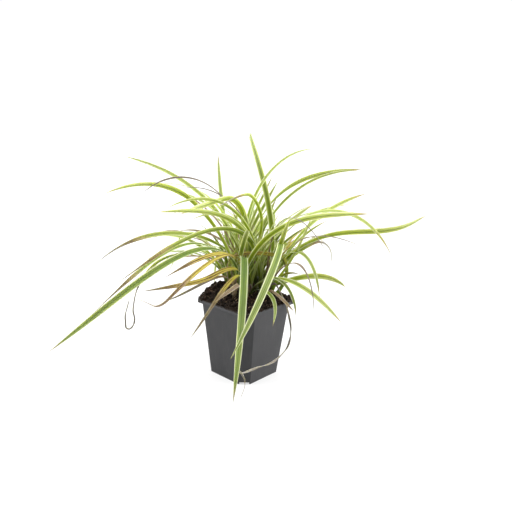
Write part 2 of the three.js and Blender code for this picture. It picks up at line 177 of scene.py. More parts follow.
def finish_surface(wire, colour, roughness, bump, bump_depth, constants):
    """The shader that a material ends in. `bump` is a height and `bump_depth` its size in metres."""
    normal = wire.node("ShaderNodeBump", None, {"Height": bump, "Strength": 1.0, "Distance": bump_depth})
    values = {"Base Color": colour, "Roughness": roughness, "Normal": normal}
    shader = wire.node("ShaderNodeBsdfPrincipled", None, values | constants)
    wire.node("ShaderNodeOutputMaterial", None, {"Surface": shader})


def new_piece(name, points, faces, material, uv=None, **attributes):
    """A smooth mesh object at the origin; uv and attributes hold one row for each point."""
    mesh = bpy.data.meshes.new(name)
    mesh.from_pydata(points.tolist(), [], faces)
    mesh.shade_smooth()
    if uv is not None:
        corner_point = np.empty(len(mesh.loops), np.int32)
        mesh.loops.foreach_get("vertex_index", corner_point)
        mesh.uv_layers.new(name="UVMap").data.foreach_set("uv", uv[corner_point].astype(np.float32).ravel())
    for label, values in attributes.items():
        mesh.attributes.new(label, "FLOAT", "POINT").data.foreach_set("value", values.astype(np.float32))
    mesh.materials.append(material)
    piece = bpy.data.objects.new(name, mesh)
    bpy.context.scene.collection.objects.link(piece)
    return piece


# The floor is white to the eye, and throws less than that back on the pot.
material, wire = new_material("white_floor")
diffuse = wire.node("ShaderNodeBsdfDiffuse", None, {"Color": FLOOR_WHITE})
glow = wire.node("ShaderNodeEmission", None, {"Strength": FLOOR_GLOW})
both = wire.node("ShaderNodeAddShader", None, {0: diffuse, 1: glow})
seen = wire.node("ShaderNodeLightPath", output="Is Camera Ray")
shown = wire.node("ShaderNodeMixShader", None, {0: seen, 1: diffuse, 2: both})
wire.node("ShaderNodeOutputMaterial", None, {"Surface": shown})
corners = np.array([[-1, -1, 0], [1, -1, 0], [1, 1, 0], [-1, 1, 0]]) * FLOOR_SIDE / 2
floor = new_piece("floor", corners, [[0, 1, 2, 3]], material)

# The surroundings are white to the eye too, and softer than that as light, with a dark side in front.
world = bpy.data.worlds.new("studio")
world.use_nodes = True
world.node_tree.nodes.clear()
wire = Wire(world.node_tree)
seen = wire.node("ShaderNodeLightPath", output="Is Camera Ray")
direction = wire.node("ShaderNodeTexCoord", output="Generated")
towards = {0: direction, 1: DARK_SIDE}
in_front = wire.node("ShaderNodeVectorMath", {"operation": "DOT_PRODUCT"}, towards, "Value")
dimmed = (in_front.step(0.0, DARK_EDGE) * DARK_SHARE).blend(WHITE, BLACK)
soft = wire.node("ShaderNodeBackground", None, {"Color": dimmed, "Strength": AMBIENT})
backdrop = wire.node("ShaderNodeBackground", None, {"Color": WHITE, "Strength": BACKDROP})
shown = wire.node("ShaderNodeMixShader", None, {0: seen, 1: soft, 2: backdrop})
wire.node("ShaderNodeOutputWorld", None, {"Surface": shown})
bpy.context.scene.world = world
bpy.context.scene.view_settings.view_transform = "Standard"


# ---- The pot: a square nursery pot with cut corners, moulded in dark grey polypropylene. Its walls lean
# out to a stiff lip, and every edge is rounded a little. Peat dust lies on the lip's top and in spots, and
# the lip is darker, in the soil's colour, near its corners.

POT_EDGE = 0.6 * MM
EDGE_STEPS = 3
ROUNDED_ABOVE = math.radians(25)
FLAT_BELOW = math.radians(1)
SAME_POINT = 1e-6
LIP_BOTTOM = 90.5 * MM
POT_TOP = 95 * MM
LIP_CORNER = 83 * MM
POT_GREY = (0.078, 0.078, 0.081)
POT_GREY_RUBBED = (0.110, 0.110, 0.113)
SOIL_DUST = (0.022, 0.015, 0.011)
POT_ROUGHNESS = 0.38
POT_SPECULAR = 0.22
POT_BUMP = 0.06 * MM

# A pattern is given by its spots in a metre, its detail, and how much closer they lie along each axis.
GRAIN = (2600, 3.0)
CLOUDS = (38, 4.0)
FLOW_LINES = (420, 3.0, (1.0, 1.0, 0.06))
SCUFFS = (160, 5.0, (1.0, 1.0, 4.0))
SMEARS = (240, 4.0)
DUST_SPOTS = (900, 2.0)

material, wire = new_material("grey_polypropylene")
place = wire.place()
height = place.axis("Z")
grain = wire.noise(place, *GRAIN)
clouds = wire.noise(place, *CLOUDS)
flow = wire.noise(place, *FLOW_LINES)
scuffs = wire.noise(place, *SCUFFS).step(0.66, 0.74)
rubbed = clouds.step(0.35, 0.75) * 0.35 + flow.step(0.45, 0.7) * 0.22 + scuffs * 0.18
plastic = rubbed.blend(POT_GREY, POT_GREY_RUBBED)
uneven = wire.noise(place, *SMEARS) - 0.5
dust_spots = wire.noise(place, *DUST_SPOTS).step(0.70, 0.76) * height.step(50 * MM, 90 * MM) * 0.5
dust_top = (height + uneven * (3 * MM)).step(POT_TOP - 1.2 * MM, POT_TOP - 0.2 * MM) * 0.9
# The lip is darker near its corners, in the soil's colour.
on_lip = (height + uneven * (4 * MM)).step(LIP_BOTTOM - 1 * MM, LIP_BOTTOM + 1 * MM)
sideways = wire.math("ABSOLUTE", place.axis("X")) + wire.math("ABSOLUTE", place.axis("Y"))
at_corner = (sideways + uneven * (6 * MM)).step(LIP_CORNER - 5 * MM, LIP_CORNER - 1 * MM)
dust_and_dark_lip = wire.math("MAXIMUM", dust_top, on_lip * at_corner * 0.8)
dust_and_dark_lip = wire.math("MAXIMUM", dust_and_dark_lip, dust_spots)
finish_surface(
    wire, dust_and_dark_lip.blend(plastic, SOIL_DUST), dust_and_dark_lip * 0.4 + clouds * 0.12 + POT_ROUGHNESS,
    grain + flow * 0.6 + dust_and_dark_lip * 1.5, POT_BUMP, {"Specular IOR Level": POT_SPECULAR},
)

# The solid's loose triangles are merged to flat faces first, so that its edges can be rounded.
shape = bmesh.new()
shape.from_mesh(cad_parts["pot"].data)
bmesh.ops.remove_doubles(shape, verts=shape.verts, dist=SAME_POINT)
bmesh.ops.dissolve_limit(shape, angle_limit=FLAT_BELOW, verts=shape.verts, edges=shape.edges)
mesh = bpy.data.meshes.new("nursery_pot")
shape.to_mesh(mesh)
shape.free()
mesh.materials.clear()
mesh.materials.append(material)
pot = bpy.data.objects.new("nursery_pot", mesh)
bpy.context.scene.collection.objects.link(pot)
rounding = pot.modifiers.new("rounding", "BEVEL")
rounding.width = POT_EDGE
rounding.segments = EDGE_STEPS
rounding.limit_method = "ANGLE"
rounding.angle_limit = ROUNDED_ABOVE
rounding.harden_normals = True
mesh.shade_smooth()
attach(pot, "root")
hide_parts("pot")


# ---- The soil: a root ball of dark peat that fills the pot, heaped at the crown and on the left.
# Its top is a crumbly skin worked out from the same mound as the solid, with finer lumps on it.

# From here on sizes are in millimetres, and MM makes metres of them where a mesh is made.
BASE_SIDE = 68
BASE_CUT = 10
TOP_SIDE = 88
TOP_CUT = 13.5
WALL_HEIGHT = 90.5
POT_WALL = 1.3
SOIL_GAP = 0.3
SOIL_HALF = TOP_SIDE / 2
BASE_PLATE = 1.6
SOIL_EDGE = 94.6
SOIL_CROWN_RISE = 5
SOIL_HEAPS = [(-35, -23, 20, 10), (-34, -3, 13, 9), (28, 34, 5, 12)]
LUMP_RISE = 1.1
LUMP_FADE = 4
CRUMBLE = [(5.3, 1.3, 1), (2.3, 1.0, 2), (0.9, 0.55, 3)]
CRUMBLE_FADE = 5
CRUMBLE_AT_RIM = 0.3
SPOT_TABLE = 256
SOIL_RINGS = 84
INNERMOST = 0.006
SIDE_POINTS = 48
CUT_POINTS = 12


def spots(x, y, size, seed):
    """Smooth random hills from -1 to 1: random values on a grid of that size, eased in between."""
    table = np.random.default_rng(seed).uniform(-1, 1, (SPOT_TABLE, SPOT_TABLE))
    column = np.floor(x / size)
    row = np.floor(y / size)
    s = x / size - column
    t = y / size - row
    s = s * s * (3 - 2 * s)
    t = t * t * (3 - 2 * t)
    c0 = column.astype(int) % SPOT_TABLE
    r0 = row.astype(int) % SPOT_TABLE
    c1 = (c0 + 1) % SPOT_TABLE
    r1 = (r0 + 1) % SPOT_TABLE
    low = table[c0, r0] * (1 - s) + table[c1, r0] * s
    high = table[c0, r1] * (1 - s) + table[c1, r1] * s
    return low * (1 - t) + high * t


def soil_height(x, y):
    """The mound in mm: an edge level, a crown, rounded heaps, and crossed waves that fade at the rim.
    A heap is its middle's x and y, its rise and its spread."""
    reach = np.maximum(np.abs(x), np.abs(y)) / SOIL_HALF
    open_share = np.maximum(0, 1 - reach ** 2)
    lumps = np.sin(x * 0.83 + 2 * np.sin(y * 0.47)) * np.cos(y * 0.71 + np.sin(x * 0.39))
    smooth = SOIL_EDGE + SOIL_CROWN_RISE * open_share
    smooth = smooth + LUMP_RISE * lumps * np.minimum(1, LUMP_FADE * open_share)
    for heap_x, heap_y, rise, spread in SOIL_HEAPS:
        away = np.hypot(x - heap_x, y - heap_y) / spread
        smooth = smooth + rise * np.sqrt(open_share) * np.exp(-away ** 2 / 2)
    return smooth


def rough_height(x, y):
    """The mound with its fine crumble: hills of three sizes, each its size, rise and seed."""
    rough = sum(spots(x, y, size, seed) * rise for size, rise, seed in CRUMBLE)
    reach = np.maximum(np.abs(x), np.abs(y)) / SOIL_HALF
    share = np.minimum(1, CRUMBLE_FADE * np.maximum(0, 1 - reach ** 2) + CRUMBLE_AT_RIM)
    return soil_height(x, y) + rough * share


def soil_outline(z):
    """The pot's inner outline at a height: a square with cut corners, in even pieces."""
    t = z / WALL_HEIGHT
    inset = POT_WALL + SOIL_GAP
    half = (BASE_SIDE + (TOP_SIDE - BASE_SIDE) * t) / 2 - inset
    flat = half - (BASE_CUT + (TOP_CUT - BASE_CUT) * t) + inset * (2 - math.sqrt(2))
    ends = np.array([
        [half, -flat], [half, flat], [flat, half], [-flat, half],
        [-half, flat], [-half, -flat], [-flat, -half], [flat, -half],
    ])
    sides = []
    for i in range(len(ends)):
        count = SIDE_POINTS if i % 2 == 0 else CUT_POINTS
        share = np.arange(count)[:, None] / count
        sides.append(ends[i] * (1 - share) + ends[(i + 1) % len(ends)] * share)
    return np.concatenate(sides)


rim = soil_outline(SOIL_EDGE)
floor_line = soil_outline(BASE_PLATE + SOIL_GAP)
shares = np.linspace(1, INNERMOST, SOIL_RINGS)
flat_x = shares[:, None] * rim[:, 0]
flat_y = shares[:, None] * rim[:, 1]
top = np.stack([flat_x, flat_y, rough_height(flat_x, flat_y)], axis=2)
foot = np.column_stack([floor_line, np.full(len(floor_line), BASE_PLATE + SOIL_GAP)])
rings = np.concatenate([foot[None], top])


def loft_faces(rows, around, first=0):
    """Quads between rows of points that close round, and a flat cap at each end."""
    corner = first + np.arange((rows - 1) * around)
    beside = first + np.arange(rows - 1)[:, None] * around + (np.arange(around) + 1) % around
    beside = beside.ravel()
    quads = np.column_stack([corner, beside, beside + around, corner + around]).tolist()
    last = first + (rows - 1) * around
    return quads + [list(range(first + around - 1, first - 1, -1)), list(range(last, last + around))]


PEAT_FINE = (1500, 5.0)
PEAT_LUMPS = (330, 6.0)
PEAT_PATCHES = (55, 3.0)
PEAT_THREADS = (520, 3.0, (1.0, 5.0, 2.0))
PEAT_BLACK = (0.0055, 0.0038, 0.0028)
PEAT_BROWN = (0.036, 0.022, 0.014)
PEAT_RUST = (0.050, 0.018, 0.010)
PEAT_STRAW = (0.13, 0.085, 0.050)
PEAT_ROUGHNESS = 0.92
PEAT_SPECULAR = 0.2
PEAT_BUMP = 0.9 * MM

peat_material, wire = new_material("peat")
place = wire.place()
fine = wire.noise(place, *PEAT_FINE)
lumps = wire.noise(place, *PEAT_LUMPS)
patches = wire.noise(place, *PEAT_PATCHES)
threads = wire.noise(place, *PEAT_THREADS).step(0.62, 0.7)
peat = lumps.step(0.3, 0.75).blend(PEAT_BLACK, PEAT_BROWN)
peat = (patches.step(0.55, 0.70) * 0.5).blend(peat, PEAT_RUST)
peat = (threads * fine.step(0.4, 0.6) * 0.6).blend(peat, PEAT_STRAW)
finish_surface(
    wire, peat, PEAT_ROUGHNESS, fine * 0.6 + lumps, PEAT_BUMP, {"Specular IOR Level": PEAT_SPECULAR},
)

faces = loft_faces(len(rings), len(rim))
soil = new_piece("peat_root_ball", rings.reshape(-1, 3) * MM, faces, peat_material)
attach(soil, "root")
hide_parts("potting_soil")


# ---- Crumbs of peat lie loose on the root ball and on the pot's lip: small split lumps, half sunk.
# Each is a rounded six-sided lump pulled out of shape, all joined in one piece.

CRUMBS = 3200
CRUMB_SEED = 11
CRUMB_ROWS = 4
CRUMB_SIDES = 6
CRUMB_POLE = 0.18
CRUMB_SIZES = (0.4, 2.6)
CRUMB_RARITY = 3.2
CRUMB_STRETCH = (0.6, 1.3)
CRUMB_DENTS = (0.72, 1.2)
CRUMB_STANDS_OUT = 0.3
CRUMB_REACH = 44
CORNER_REACH = 79
CORNER_PULL = 0.82
HEAP_CRUMBS = 700
HEAP_MIDDLE = (-34, -16)
HEAP_SPREAD = 11


def repeated_lofts(count, rows, around):
    """The faces of many lofts of one size, whose points follow each other."""
    return [face for i in range(count) for face in loft_faces(rows, around, i * rows * around)]


chance = np.random.default_rng(CRUMB_SEED)
tilt = np.linspace(CRUMB_POLE, math.pi - CRUMB_POLE, CRUMB_ROWS)[None, :, None]
turn = np.linspace(0, 2 * math.pi, CRUMB_SIDES, endpoint=False)[None, None, :]
ball = [np.sin(tilt) * np.cos(turn), np.sin(tilt) * np.sin(turn), -np.cos(tilt)]
ball = np.stack(np.broadcast_arrays(*ball), 3).reshape(1, -1, 3)
size = CRUMB_SIZES[0] + (CRUMB_SIZES[1] - CRUMB_SIZES[0]) * chance.random(CRUMBS) ** CRUMB_RARITY
stretch = chance.uniform(*CRUMB_STRETCH, (CRUMBS, 1, 3))
dents = chance.uniform(*CRUMB_DENTS, (CRUMBS, ball.shape[1], 1))
spin = np.linalg.qr(chance.normal(size=(CRUMBS, 3, 3)))[0]
spin *= np.sign(np.linalg.det(spin))[:, None, None]
shapes = np.einsum("nij,nkj->nki", spin, ball * stretch * dents) * size[:, None, None]
crumb_xy = chance.uniform(-CRUMB_REACH, CRUMB_REACH, (CRUMBS, 2))
heaped = chance.normal(HEAP_MIDDLE, HEAP_SPREAD, (HEAP_CRUMBS, 2))
crumb_xy[:HEAP_CRUMBS] = np.clip(heaped, -CRUMB_REACH, CRUMB_REACH)
crumb_xy[np.abs(crumb_xy).sum(1) > CORNER_REACH] *= CORNER_PULL
crumb_z = np.maximum(rough_height(*crumb_xy.T), SOIL_EDGE) + size * CRUMB_STANDS_OUT
shapes += np.column_stack([crumb_xy, crumb_z])[:, None, :]
faces = repeated_lofts(CRUMBS, CRUMB_ROWS, CRUMB_SIDES)
crumbs = new_piece("peat_crumbs", shapes.reshape(-1, 3) * MM, faces, peat_material)
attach(crumbs, "root")


# ---- Root fibres and shreds of old leaf lie in the peat: thin curved threads, half sunk in its surface.
# Each is a four-sided thread of a few steps, and all of them are one piece.

FIBRES = 340
FIBRE_SEED = 23
FIBRE_STEPS = 8
FIBRE_SIDES = 4
SHORTEST_FIBRE = 3
LONGEST_FIBRE = 14
FIBRE_THICKNESSES = (0.10, 0.24)
FIBRE_CURL = 1.3
FIBRE_STARTS = 40
FIBRE_REACH = 42
FIBRE_ARCH = 2.2
FIBRE_LIFT = 0.3
FIBRE_SPECKS = (900, 3.0)
FIBRE_BROWN = (0.075, 0.040, 0.022)
FIBRE_STRAW = (0.34, 0.25, 0.14)
FIBRE_STAIN = (0.025, 0.016, 0.011)
FIBRE_ROUGHNESS = 0.8
FIBRE_SPECULAR = 0.25
FIBRE_BUMP = 0.2 * MM

material, wire = new_material("old_fibre")
specks = wire.noise(wire.place(), *FIBRE_SPECKS)
colour = wire.attribute("tone").step(0.3, 0.9).blend(FIBRE_BROWN, FIBRE_STRAW)
colour = (specks.step(0.5, 0.65) * 0.6).blend(colour, FIBRE_STAIN)
finish_surface(wire, colour, FIBRE_ROUGHNESS, specks, FIBRE_BUMP, {"Specular IOR Level": FIBRE_SPECULAR})

chance = np.random.default_rng(FIBRE_SEED)
fibre_long = SHORTEST_FIBRE + (LONGEST_FIBRE - SHORTEST_FIBRE) * chance.random(FIBRES) ** 2
fibre_thick = chance.uniform(*FIBRE_THICKNESSES, FIBRES)
s = np.arange(FIBRE_STEPS) / (FIBRE_STEPS - 1)
heading = chance.uniform(0, 2 * math.pi, (FIBRES, 1)) + chance.normal(0, FIBRE_CURL, (FIBRES, 1)) * s
step = (fibre_long / FIBRE_STEPS)[:, None]
start_x = chance.uniform(-FIBRE_STARTS, FIBRE_STARTS, (FIBRES, 1))
fibre_x = np.clip(start_x + np.cumsum(np.cos(heading), 1) * step, -FIBRE_REACH, FIBRE_REACH)
start_y = chance.uniform(-FIBRE_STARTS, FIBRE_STARTS, (FIBRES, 1))
fibre_y = np.clip(start_y + np.cumsum(np.sin(heading), 1) * step, -FIBRE_REACH, FIBRE_REACH)
arch = chance.uniform(0, FIBRE_ARCH, (FIBRES, 1)) * np.sin(math.pi * s)
line = np.stack([fibre_x, fibre_y, rough_height(fibre_x, fibre_y) + FIBRE_LIFT + arch], 2)
side = np.stack([-np.sin(heading), np.cos(heading), np.zeros_like(heading)], 2) * fibre_thick[:, None, None]
rise = np.array([0, 0, 1]) * fibre_thick[:, None, None, None]
side = side[:, :, None]
rings = line[:, :, None] + np.concatenate([side, rise + side * 0, -side, -rise + side * 0], 2)
fibres = new_piece(
    "peat_fibres", rings.reshape(-1, 3) * MM, repeated_lofts(FIBRES, FIBRE_STEPS, FIBRE_SIDES), material,
    tone=np.repeat(chance.random(FIBRES), FIBRE_STEPS * FIBRE_SIDES),
)
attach(fibres, "root")


# ---- Green shoots: bundles of long folded blades that rise from one foot, arch out and hang.
# A blade has a green middle with fine veins, cream edges, and a tip that dies back to brown and grey.

CROWN_LEVEL = 94
BEND_IN = 35
SWAY_CURVE = 1.5
SPINE_STEPS = 72
PLACES_ACROSS = 9
LEAF_FOLD = 0.13
FOLD_CURVE = 1.25
BASE_NARROWING = 0.62
BASE_WIDENING = 1.5
TIP_WIDTH = 0.15
TIP_TAPER = 8
POINT_NARROWING = 0.8
POINT_TAPER = 24
BLADE_THICKNESS = 0.5
TIP_THINNING = 0.45
EDGE_THINNING = 0.72
GROOVE = 0.10
MIDRIB = 0.22
RIDGE_FADE = 0.7
RIPPLE_RISE = 0.035
RIPPLE_STEPS = (13, 37)
WITHERED = 0.5
WITHERS_OVER = 0.16
FOOT_REACH = 16
FOOT_FOLD = 0.30
FOOT_CLOSING = 0.35
FOOT_STANDS_OFF = (0.2, 1.3)
SHARP_ABOVE = math.radians(70)

# A leaf heads `to` degrees round, starts at `lift` degrees and loses `droop` of them along its `bend`, is
# `long` and `wide` mm, and turns by `sway` sideways and by `roll` about itself. A kink is its place, its
# share of the length, and how far it turns the leaf up and round. The last three are the share of the
# length where it has died, its tone, and how much of it is edge. A tone is partly the leaf's own shade of
# green and partly painted light and shade: a low tone darkens a leaf that lies in shadow, a high one
# lightens a lit one.
LEAF_FIELDS = "to lift droop bend long sway wide roll kink dead tone edging"
Leaf = namedtuple("Leaf", LEAF_FIELDS, defaults=(None, None, None, None))


def random_sequence(seed):
    """The same repeatable numbers from 0 to 1 that the solids' spare leaves are drawn with."""
    state = seed
    while True:
        state = (state + 0x6D2B79F5) & 0xFFFFFFFF
        value = (state ^ state >> 15) * (state | 1) & 0xFFFFFFFF
        value ^= (value + ((value ^ value >> 7) * (value | 61) & 0xFFFFFFFF)) & 0xFFFFFFFF
        yield (value ^ value >> 14) / 4294967296


SPARE_RANGES = [(0, 360), (50, 98), (40, 130), (0.5, 1.5), (110, 260), (-35, 35), (4, 7), (-40, 40)]


def extra_leaf(seed, widest):
    """A leaf that no list names: one seed gives one leaf."""
    draw = random_sequence(seed)
    leaf = Leaf(*[low + (high - low) * next(draw) for low, high in SPARE_RANGES])
    return leaf._replace(wide=min(leaf.wide, widest))


def drawn_leaves(chance, count, ranges):
    """Leaves whose values are each drawn evenly from a range."""
    low, high = np.array(ranges).T
    return [Leaf(*row) for row in low + (high - low) * chance.random((count, len(ranges)))]


INNER_NARROWEST = 0.55


def inner_leaves(chance, count, widest):
    """Short young leaves between a shoot's long ones: nearly upright, narrow and a little bent."""
    widths = (widest * INNER_NARROWEST, widest)
    ranges = [(0, 360), (74, 97), (0, 55), (0.8, 1.8), (50, 125), (-30, 30), widths, (-60, 60)]
    return drawn_leaves(chance, count, ranges)


def eased(value):
    """0 below -0.5, 1 above 0.5, smooth between."""
    t = np.clip(value + 0.5, 0, 1)
    return t * t * (3 - 2 * t)


def leaf_frame(root, leaf):
    """The blade's middle line and its three directions at every step from root to tip.
    The slope starts upright, settles to lift - droop * u^bend, and the heading sways towards the tip."""
    kink_at, kink_over, kink_rise, kink_turn = leaf.kink or (0, 1, 0, 0)

    def heading_at(u):
        """The heading in radians at a share of the length."""
        turn = eased((u - kink_at) / kink_over) * kink_turn
        return np.radians(leaf.to + leaf.sway * u ** SWAY_CURVE + turn)

    middle = (np.arange(SPINE_STEPS) + 0.5) / SPINE_STEPS
    curve = middle ** leaf.bend if leaf.bend >= 1 else 1 - (1 - middle) ** (1 / leaf.bend)
    upright = np.maximum(0, 1 - middle * leaf.long / BEND_IN) ** 2
    slope = leaf.lift - leaf.droop * curve + (90 - leaf.lift) * upright
    slope = np.radians(slope + eased((middle - kink_at) / kink_over) * kink_rise)
    turn = heading_at(middle)
    steps = np.column_stack([np.cos(slope) * np.cos(turn), np.cos(slope) * np.sin(turn), np.sin(slope)])
    points = np.concatenate([[[0, 0, 0]], np.cumsum(steps, 0) * leaf.long / SPINE_STEPS])
    points += (*root, CROWN_LEVEL)
    along = np.concatenate([steps[:1], steps[:-1] + steps[1:], steps[-1:]])
    along /= np.linalg.norm(along, axis=1, keepdims=True)
    u = np.arange(SPINE_STEPS + 1) / SPINE_STEPS
    heading = heading_at(u)
    side = np.column_stack([-np.sin(heading), np.cos(heading), np.zeros_like(u)])
    face = np.cross(along, side)
    roll = np.radians(leaf.roll * np.sin(u * math.pi / 2))[:, None]
    across = side * np.cos(roll) + face * np.sin(roll)
    return u, points, across, np.cross(along, across)


half_ring = np.linspace(-1, 1, PLACES_ACROSS)
RING_PLACES = np.concatenate([half_ring, half_ring[-2:0:-1]])
RING_SIDES = np.concatenate([np.ones(PLACES_ACROSS), -np.ones(PLACES_ACROSS - 2)])


def blade(root, leaf, chance, shrink=WITHERED):
    """A folded blade: rings of points whose edges rise by the fold, thin at the edges, with a groove
    along the upper face and a midrib below. Near its foot it folds closer and stands off the axis,
    and where it has died it shrinks."""
    u, points, across, up = leaf_frame(root, leaf)
    run = u * leaf.long
    width = leaf.wide * np.minimum(1, BASE_NARROWING + BASE_WIDENING * u)
    width *= 1 - (1 - TIP_WIDTH) * u ** TIP_TAPER
    width *= 1 - POINT_NARROWING * u ** POINT_TAPER
    if leaf.dead is not None:
        width *= 1 - shrink * eased((u - leaf.dead) / WITHERS_OVER - 0.5)
    foot = np.exp(-(run / FOOT_REACH) ** 2)
    fold = LEAF_FOLD + FOOT_FOLD * foot
    lean = math.radians(leaf.to)
    out = np.array([math.cos(lean), math.sin(lean), 0])
    points = points + out * (foot * chance.uniform(*FOOT_STANDS_OFF))[:, None]
    t = RING_PLACES[None, :]
    phase = chance.uniform(0, 2 * math.pi, 2)
    ripples = np.sin(run / RIPPLE_STEPS[0] + phase[0]) * np.sin(run / RIPPLE_STEPS[1] + phase[1])
    bend = fold[:, None] * np.abs(t) ** FOLD_CURVE + RIPPLE_RISE * ripples[:, None] * t
    thick = BLADE_THICKNESS * (1 - TIP_THINNING * u)[:, None]
    thick = thick * (1 - EDGE_THINNING * np.abs(t) ** 3) * (np.abs(t) < 1)
    ridge = (t == 0) * np.where(RING_SIDES > 0, -GROOVE, -MIDRIB) * (1 - RIDGE_FADE * u)[:, None]
    lift = bend * width[:, None] + RING_SIDES * thick / 2 + ridge
    sideways = t * width[:, None] / 2 * (1 - FOOT_CLOSING * foot[:, None])
    rings = points[:, None] + across[:, None] * sideways[..., None] + up[:, None] * lift[..., None]
    uv = np.stack(np.broadcast_arrays((t + 1) / 2, u[:, None]), 2)
    return rings, uv


STEM_HEIGHT = 27
STEM_SUNK = 3
STEM_ROWS = 10
STEM_SIDES = 16
STEM_FLUTES = 3
FLUTE_DEPTH = 0.13
FLUTE_TWIST = 1.4
STEM_NARROWING = 0.5
STEM_CURVE = 1.5
STEM_SHADES = (0.04, 0.5)


def foot_stem(root, radius, chance):
    """The stem that the leaves' sheaths make at a shoot's foot: a fluted tube that narrows upwards."""
    rise = np.linspace(0, 1, STEM_ROWS)[:, None]
    turn = np.linspace(0, 2 * math.pi, STEM_SIDES, endpoint=False)[None, :]
    flutes = 1 + FLUTE_DEPTH * np.cos(STEM_FLUTES * turn + chance.uniform(0, 6) + FLUTE_TWIST * rise)
    reach = radius * (1 - STEM_NARROWING * rise ** STEM_CURVE) * flutes
    x = root[0] + reach * np.cos(turn)
    y = root[1] + reach * np.sin(turn)
    z = CROWN_LEVEL - STEM_SUNK + STEM_HEIGHT * rise
    across = np.abs(turn / math.pi - 1)
    along = STEM_SHADES[0] + STEM_SHADES[1] * rise
    return np.stack(np.broadcast_arrays(x, y, z), 2), np.stack(np.broadcast_arrays(across, along), 2)


def joined(grown):
    """Lofts joined in one mesh: its points, faces and uv, and each loft's marks spread on its points."""
    points, faces, uvs, marks = [], [], [], []
    for rings, uv, mark in grown:
        rows, around = rings.shape[:2]
        faces += loft_faces(rows, around, sum(map(len, points)))
        points.append(rings.reshape(-1, 3) * MM)
        uvs.append(uv.reshape(-1, 2))
        marks.append({label: np.full(rows * around, value) for label, value in mark.items()})
    attributes = {label: np.concatenate([mark[label] for mark in marks]) for label in marks[0]}
    return np.concatenate(points), faces, np.concatenate(uvs), attributes


STEM_MARKS = {"length": STEM_HEIGHT * MM, "dead": 2.0, "tone": 0.3, "edging": 0.0}
LEAF_MARKS = {"dead": (0.92, 0.99), "tone": (0.1, 1), "edging": (0.4, 0.9)}
INNER_MARKS = {"dead": (0.9, 1.0), "tone": (0, 1)}
INNER_EDGING = 0.15
INNER_STRIDE = 3


def leaf_piece(name, root, leaves, material, seed, stem, inner, widest, shrink=WITHERED):
    """All blades of a shoot as one mesh, each with its own tone and the place where its tip has died.
    `stem` is the radius at its foot, `inner` the number of short leaves that fill it, and `widest` the
    most that those measure across. A value that a leaf doesn't name is drawn."""
    chance = np.random.default_rng(seed)
    grown = [(*foot_stem(root, stem, chance), STEM_MARKS)]
    for leaf in leaves:
        marks = {label: chance.uniform(*ends) for label, ends in LEAF_MARKS.items()}
        named = {label: getattr(leaf, label) for label in LEAF_MARKS}
        marks |= {label: value for label, value in named.items() if value is not None}
        grown.append((*blade(root, leaf, chance, shrink), {"length": leaf.long * MM} | marks))
    for leaf in inner_leaves(chance, inner, widest):
        rings, uv = blade(root, leaf, chance)
        marks = {label: chance.uniform(*ends) for label, ends in INNER_MARKS.items()}
        marks |= {"length": leaf.long * MM, "edging": INNER_EDGING}
        grown.append((rings[::INNER_STRIDE], uv[::INNER_STRIDE], marks))
    points, faces, uv, attributes = joined(grown)
    piece = new_piece(name, points, faces, material, uv, **attributes)
    piece.data.set_sharp_from_angle(angle=SHARP_ABOVE)
    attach(piece, "root")
    return piece


# A blade's pattern is given by its spots across the blade, its spots along a metre of it, and how far a
# leaf's tone moves it on. Shares say how strongly a colour covers what is under it.
STREAKS = (9, 14, 31)
PATCHES = (1.5, 40, 57)
LINES = (5, 14, 83)
LINE_EDGES = (0.51, 0.57)
LINE_BROWN = (0.10, 0.042, 0.016)
VEINS_ACROSS = 15
VEIN_SHARE = 0.22
MIDLINE_SHARE = 0.55
MARGIN_EDGES = (0.79, 0.93)
FOOT_COLOUR_AND_SHADE_SHARE = 0.85
DEAD_DARK = (0.11, 0.085, 0.070)
DEAD_STREAK = (0.10, 0.060, 0.032)
BLADE_BUMP = 0.12 * MM
BLADE_GLOW = {
    "Subsurface Weight": 0.55, "Subsurface Scale": 0.0014, "Subsurface Radius": (1.0, 1.0, 0.4),
    "Specular IOR Level": 0.18,
}


